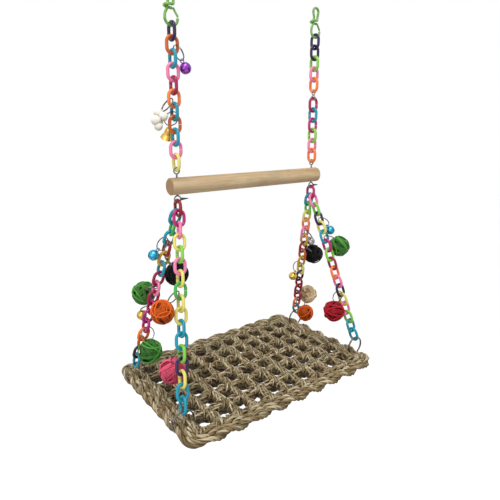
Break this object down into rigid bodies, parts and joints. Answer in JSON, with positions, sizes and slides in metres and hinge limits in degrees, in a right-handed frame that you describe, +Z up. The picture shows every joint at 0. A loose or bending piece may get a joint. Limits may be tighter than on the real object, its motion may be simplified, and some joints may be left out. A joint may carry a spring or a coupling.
{
  "type": "bird swing",
  "caption": "Hanging bird swing: a wooden perch and a woven grass mat on coloured plastic link chains, with rattan balls and bells.",
  "frame": {"origin": "middle of the line between the seats of the two hooks, where the swing hangs", "axes": "+X along the perch from the left hook to the right one, +Y to the back, +Z up"},
  "size_m": [0.276, 0.168, 0.3967],
  "materials": {
    "hook_paint": "green lacquer",
    "gate_paint": "green lacquer",
    "left_first_link_plastic": "glossy, each link its own colour",
    "left_upper_chain_plastic": "glossy, each link its own colour",
    "right_first_link_plastic": "glossy, each link its own colour",
    "right_upper_chain_plastic": "glossy, each link its own colour",
    "left_shared_link_plastic": "glossy, each link its own colour",
    "right_shared_link_plastic": "glossy, each link its own colour",
    "left_front_chain_plastic": "glossy, each link its own colour",
    "left_back_chain_plastic": "glossy, each link its own colour",
    "right_front_chain_plastic": "glossy, each link its own colour",
    "right_back_chain_plastic": "glossy, each link its own colour",
    "steel": "bright wire",
    "dark_wire": "dull wire",
    "ring_steel": "bright spring wire",
    "perch_wood": "bare, fine grain",
    "tip_sleeve": "dull",
    "grass_field": "knotted dry grass",
    "grass_border": "braided dry grass",
    "clapper_brass": "dull",
    "left_green_ball_look": "dyed cane",
    "left_black_ball_look": "dyed cane",
    "left_orange_ball_look": "dyed cane",
    "low_green_ball_look": "dyed cane",
    "left_pink_ball_look": "dyed cane",
    "right_green_ball_look": "dyed cane",
    "right_black_ball_look": "dyed cane",
    "cream_ball_look": "dyed cane",
    "red_ball_look": "dyed cane",
    "right_orange_ball_look": "dyed cane",
    "left_blue_bell_look": "bright lacquer",
    "left_gold_bell_look": "polished",
    "right_blue_bell_look": "bright lacquer",
    "silver_bell_look": "polished",
    "right_gold_bell_look": "polished",
    "purple_bell_look": "bright lacquer",
    "open_bell_look": "polished",
    "white_charm_look": "dyed cane"
  },
  "bodies": {
    "hooks": {"left_hook": "hook_paint", "right_hook": "hook_paint"},
    "left_gate": {"left_hook_gate": "gate_paint"},
    "right_gate": {"right_hook_gate": "gate_paint"},
    "left_first_link": {"left_first_link": "left_first_link_plastic"},
    "right_first_link": {"right_first_link": "right_first_link_plastic"},
    "left_upper_chain": {"left_upper_chain": "left_upper_chain_plastic"},
    "right_upper_chain": {"right_upper_chain": "right_upper_chain_plastic", "chain_connector": "steel"},
    "perch": {"perch_dowel": "perch_wood", "left_eye_wire": "dark_wire", "right_eye_wire": "dark_wire", "wire_tips": "tip_sleeve"},
    "left_shared_link": {"left_shared_link": "left_shared_link_plastic"},
    "right_shared_link": {"right_shared_link": "right_shared_link_plastic"},
    "left_side": {"left_front_chain": "left_front_chain_plastic", "left_back_chain": "left_back_chain_plastic"},
    "right_side": {"right_front_chain": "right_front_chain_plastic", "right_back_chain": "right_back_chain_plastic"},
    "mat": {"mat_field": "grass_field", "mat_border": "grass_border", "mat_rings": "steel"},
    "left_green_toy": {"left_green_ball": "left_green_ball_look", "left_green_ball_ring": "ring_steel"},
    "left_black_toy": {"left_black_ball": "left_black_ball_look", "left_black_ball_ring": "ring_steel"},
    "left_orange_toy": {"left_orange_ball": "left_orange_ball_look", "left_orange_ball_ring": "ring_steel"},
    "low_green_toy": {"low_green_ball": "low_green_ball_look", "low_green_ball_ring": "ring_steel"},
    "left_pink_toy": {"left_pink_ball": "left_pink_ball_look", "left_pink_ball_ring": "ring_steel"},
    "right_green_toy": {"right_green_ball": "right_green_ball_look", "right_green_ball_ring": "ring_steel"},
    "right_black_toy": {"right_black_ball": "right_black_ball_look", "right_black_ball_ring": "ring_steel"},
    "cream_toy": {"cream_ball": "cream_ball_look", "cream_ball_ring": "ring_steel"},
    "red_toy": {"red_ball": "red_ball_look", "red_ball_ring": "ring_steel"},
    "right_orange_toy": {"right_orange_ball": "right_orange_ball_look", "right_orange_ball_ring": "ring_steel"},
    "left_blue_bell_toy": {"left_blue_bell": "left_blue_bell_look", "left_blue_bell_ring": "ring_steel"},
    "left_gold_bell_toy": {"left_gold_bell": "left_gold_bell_look", "left_gold_bell_ring": "ring_steel"},
    "right_blue_bell_toy": {"right_blue_bell": "right_blue_bell_look", "right_blue_bell_ring": "ring_steel"},
    "silver_bell_toy": {"silver_bell": "silver_bell_look", "silver_bell_ring": "ring_steel"},
    "right_gold_bell_toy": {"right_gold_bell": "right_gold_bell_look", "right_gold_bell_ring": "ring_steel"},
    "purple_bell_toy": {"purple_bell": "purple_bell_look", "purple_bell_ring": "ring_steel"},
    "open_bell_toy": {"open_bell": "open_bell_look", "open_bell_ring": "ring_steel"},
    "white_charm_toy": {"white_charm": "white_charm_look", "white_charm_ring": "ring_steel"},
    "clapper": {"open_bell_clapper": "clapper_brass"}
  },
  "joints": [
    {"name": "left_gate_spring", "type": "hinge", "parent": "hooks", "child": "left_gate", "pos_m": [-0.08468, 0, -0.0196], "axis": [0, 1, 0], "range_deg": [0, 25], "stiffness_Nm_per_rad": 0.02},
    {"name": "right_gate_spring", "type": "hinge", "parent": "hooks", "child": "right_gate", "pos_m": [0.08932, 0, -0.0097], "axis": [0, 1, 0], "range_deg": [0, 25], "stiffness_Nm_per_rad": 0.02},
    {"name": "swing", "type": "hinge", "parent": "hooks", "child": "left_first_link", "pos_m": [-0.087, 0, -0.0335], "axis": [0.9984, 0, 0.0568], "range_deg": [-30, 30]},
    {"name": "right_swing", "type": "hinge", "parent": "hooks", "child": "right_first_link", "pos_m": [0.087, 0, -0.0236], "axis": [0.9984, 0, 0.0568], "range_deg": [-30, 30]},
    {"name": "sway", "type": "hinge", "parent": "left_first_link", "child": "left_upper_chain", "pos_m": [-0.087, 0, -0.0451], "axis": [0, 1, 0], "range_deg": [-20, 20]},
    {"name": "right_sway", "type": "hinge", "parent": "right_first_link", "child": "right_upper_chain", "pos_m": [0.087, 0, -0.0352], "axis": [0, 1, 0], "range_deg": [-20, 20]},
    {"name": "perch_level", "type": "hinge", "parent": "left_upper_chain", "child": "perch", "pos_m": [-0.087, 0, -0.1571], "axis": [0, 1, 0], "range_deg": [-20, 20]},
    {"name": "platform_swing", "type": "hinge", "parent": "perch", "child": "left_shared_link", "pos_m": [-0.087, 0, -0.18735], "axis": [1, 0, 0], "range_deg": [-25, 25]},
    {"name": "right_platform_swing", "type": "hinge", "parent": "perch", "child": "right_shared_link", "pos_m": [0.087, 0, -0.18735], "axis": [1, 0, 0], "range_deg": [-25, 25]},
    {"name": "platform_sway", "type": "hinge", "parent": "left_shared_link", "child": "left_side", "pos_m": [-0.087, 0, -0.1942], "axis": [0, 1, 0], "range_deg": [-12, 12]},
    {"name": "right_platform_sway", "type": "hinge", "parent": "right_shared_link", "child": "right_side", "pos_m": [0.087, 0, -0.1942], "axis": [0, 1, 0], "range_deg": [-12, 12]},
    {"name": "mat_level", "type": "hinge", "parent": "left_side", "child": "mat", "pos_m": [-0.117, 0, -0.36718], "axis": [0, 1, 0], "range_deg": [-12, 12]},
    {"name": "left_green_toy_swing", "type": "hinge", "parent": "left_side", "child": "left_green_toy", "pos_m": [-0.10108, 0.028, -0.27462], "axis": [0.9864, 0.0458, -0.1578], "range_deg": [0, 25]},
    {"name": "left_black_toy_swing", "type": "hinge", "parent": "left_side", "child": "left_black_toy", "pos_m": [-0.09285, 0.01625, -0.24399], "axis": [0, -0.9604, -0.2787], "range_deg": [0, 25]},
    {"name": "left_orange_toy_swing", "type": "hinge", "parent": "left_side", "child": "left_orange_toy", "pos_m": [-0.10195, -0.02216, -0.26434], "axis": [0, 0.9604, -0.2787], "range_deg": [0, 25]},
    {"name": "low_green_toy_swing", "type": "hinge", "parent": "left_side", "child": "low_green_toy", "pos_m": [-0.10844, 0.03504, -0.31859], "axis": [-0.9864, -0.0458, 0.1578], "range_deg": [0, 25]},
    {"name": "left_pink_toy_swing", "type": "hinge", "parent": "left_side", "child": "left_pink_toy", "pos_m": [-0.10844, -0.03504, -0.31859], "axis": [0.9864, -0.0458, -0.1578], "range_deg": [0, 25]},
    {"name": "right_green_toy_swing", "type": "hinge", "parent": "right_side", "child": "right_green_toy", "pos_m": [0.09827, -0.016, -0.24312], "axis": [0, -0.9604, 0.2787], "range_deg": [0, 25]},
    {"name": "right_black_toy_swing", "type": "hinge", "parent": "right_side", "child": "right_black_toy", "pos_m": [0.10195, 0.02216, -0.26434], "axis": [0, -0.9604, -0.2787], "range_deg": [0, 25]},
    {"name": "cream_toy_swing", "type": "hinge", "parent": "right_side", "child": "cream_toy", "pos_m": [0.11299, 0.04063, -0.328], "axis": [0, -0.9604, -0.2787], "range_deg": [0, 25]},
    {"name": "red_toy_swing", "type": "hinge", "parent": "right_side", "child": "red_toy", "pos_m": [0.10389, -0.03472, -0.30765], "axis": [0, 0.9604, -0.2787], "range_deg": [0, 25]},
    {"name": "right_orange_toy_swing", "type": "hinge", "parent": "right_side", "child": "right_orange_toy", "pos_m": [0.11212, 0.04119, -0.33981], "axis": [-0.9864, 0.0458, -0.1578], "range_deg": [0, 25]},
    {"name": "left_blue_bell_toy_swing", "type": "hinge", "parent": "left_side", "child": "left_blue_bell_toy", "pos_m": [-0.09459, 0.00984, -0.2219], "axis": [0, 0.9604, 0.2787], "range_deg": [0, 25]},
    {"name": "left_gold_bell_toy_swing", "type": "hinge", "parent": "left_side", "child": "left_gold_bell_toy", "pos_m": [-0.10476, 0.03416, -0.29584], "axis": [0.9864, 0.0458, -0.1578], "range_deg": [0, 16]},
    {"name": "right_blue_bell_toy_swing", "type": "hinge", "parent": "right_side", "child": "right_blue_bell_toy", "pos_m": [0.09459, -0.00984, -0.2219], "axis": [0, -0.9604, 0.2787], "range_deg": [0, 25]},
    {"name": "silver_bell_toy_swing", "type": "hinge", "parent": "right_side", "child": "silver_bell_toy", "pos_m": [0.09827, 0.016, -0.24312], "axis": [0, -0.9604, -0.2787], "range_deg": [0, 25]},
    {"name": "right_gold_bell_toy_swing", "type": "hinge", "parent": "right_side", "child": "right_gold_bell_toy", "pos_m": [0.10021, 0.02857, -0.28643], "axis": [0, 0.9604, 0.2787], "range_deg": [0, 25]},
    {"name": "purple_bell_toy_swing", "type": "hinge", "parent": "left_upper_chain", "child": "purple_bell_toy", "pos_m": [-0.08425, 0, -0.049], "axis": [0, -1, 0], "range_deg": [0, 25]},
    {"name": "open_bell_toy_swing", "type": "hinge", "parent": "left_upper_chain", "child": "open_bell_toy", "pos_m": [-0.087, 0.00275, -0.105], "axis": [1, 0, 0], "range_deg": [0, 25]},
    {"name": "white_charm_toy_swing", "type": "hinge", "parent": "left_upper_chain", "child": "white_charm_toy", "pos_m": [-0.08975, 0, -0.0938], "axis": [0, 1, 0], "range_deg": [0, 25]},
    {"name": "clapper_swing", "type": "hinge", "parent": "open_bell_toy", "child": "clapper", "pos_m": [-0.087, 0.01124, -0.12011], "axis": [1, 0, 0], "range_deg": [-8, 8]}
  ],
  "couplings": [
    {"joint": "right_swing", "follows": "swing", "ratio": 1},
    {"joint": "right_sway", "follows": "sway", "ratio": 0.91879},
    {"joint": "perch_level", "follows": "sway", "ratio": -1},
    {"joint": "right_platform_swing", "follows": "platform_swing", "ratio": 1},
    {"joint": "right_platform_sway", "follows": "platform_sway", "ratio": 1},
    {"joint": "mat_level", "follows": "platform_sway", "ratio": -0.74359}
  ]
}
